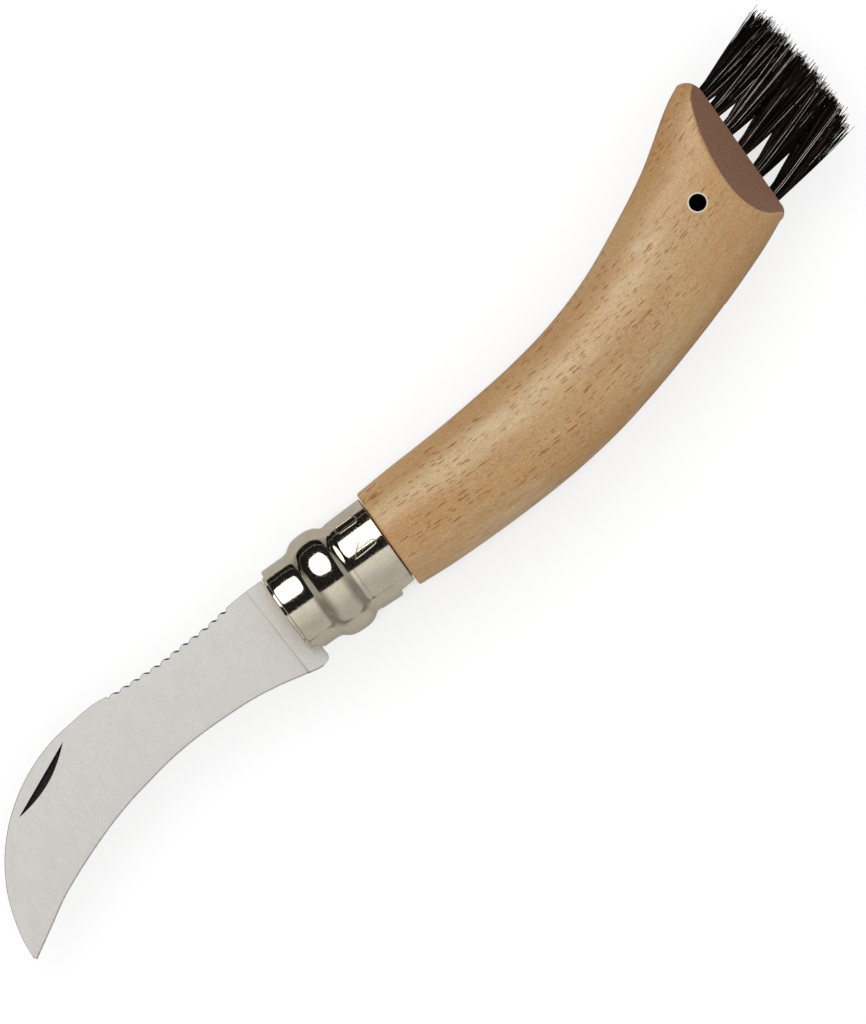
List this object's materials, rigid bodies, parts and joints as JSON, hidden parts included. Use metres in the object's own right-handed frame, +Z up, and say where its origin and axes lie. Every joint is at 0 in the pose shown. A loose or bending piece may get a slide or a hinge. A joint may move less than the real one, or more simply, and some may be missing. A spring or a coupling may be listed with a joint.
{
  "type": "folding mushroom knife",
  "caption": "Folding knife with a curved blade and rippled back, a slotted locking ring on a ferrule, and a curved wooden handle with a bristle brush in its butt.",
  "frame": {"origin": "centre of the underside of the part's box, where the open knife lies on its side on a table", "axes": "+X along the collar's axis from the blade to the butt and brush, +Y from the cutting edge to the back of the blade, +Z up, square to the flat of the blade"},
  "size_m": [0.2154, 0.0678, 0.0217],
  "materials": {
    "handle_wood": "pale beech, lightly varnished, brown on the two bevels of the butt",
    "collar_steel": "polished stainless steel",
    "blade_steel": "satin stainless steel",
    "pin_steel": "plain steel",
    "bristle": "dark brown boar bristle with a few pale hairs"
  },
  "bodies": {
    "handle_body": {"handle": "handle_wood", "fixed_ferrule": "collar_steel", "pivot_pin": "pin_steel", "bristles_lower": "bristle", "bristles_middle": "bristle", "bristles_upper": "bristle", "tuft_staple_1": "pin_steel", "tuft_staple_2": "pin_steel", "tuft_staple_3": "pin_steel", "tuft_staple_4": "pin_steel", "tuft_staple_5": "pin_steel", "tuft_staple_6": "pin_steel"},
    "blade_body": {"blade": "blade_steel"},
    "ring_body": {"locking_ring": "collar_steel"}
  },
  "joints": [
    {"name": "blade_fold", "type": "hinge", "parent": "handle_body", "child": "blade_body", "pos_m": [-0.02155, -0.01003, 0.01085], "axis": [0, 0, 1], "range_deg": [0, 177]},
    {"name": "ring_turn", "type": "hinge", "parent": "handle_body", "child": "ring_body", "pos_m": [-0.02155, -0.00803, 0.01085], "axis": [-1, 0, 0], "range_deg": [0, 45]}
  ]
}
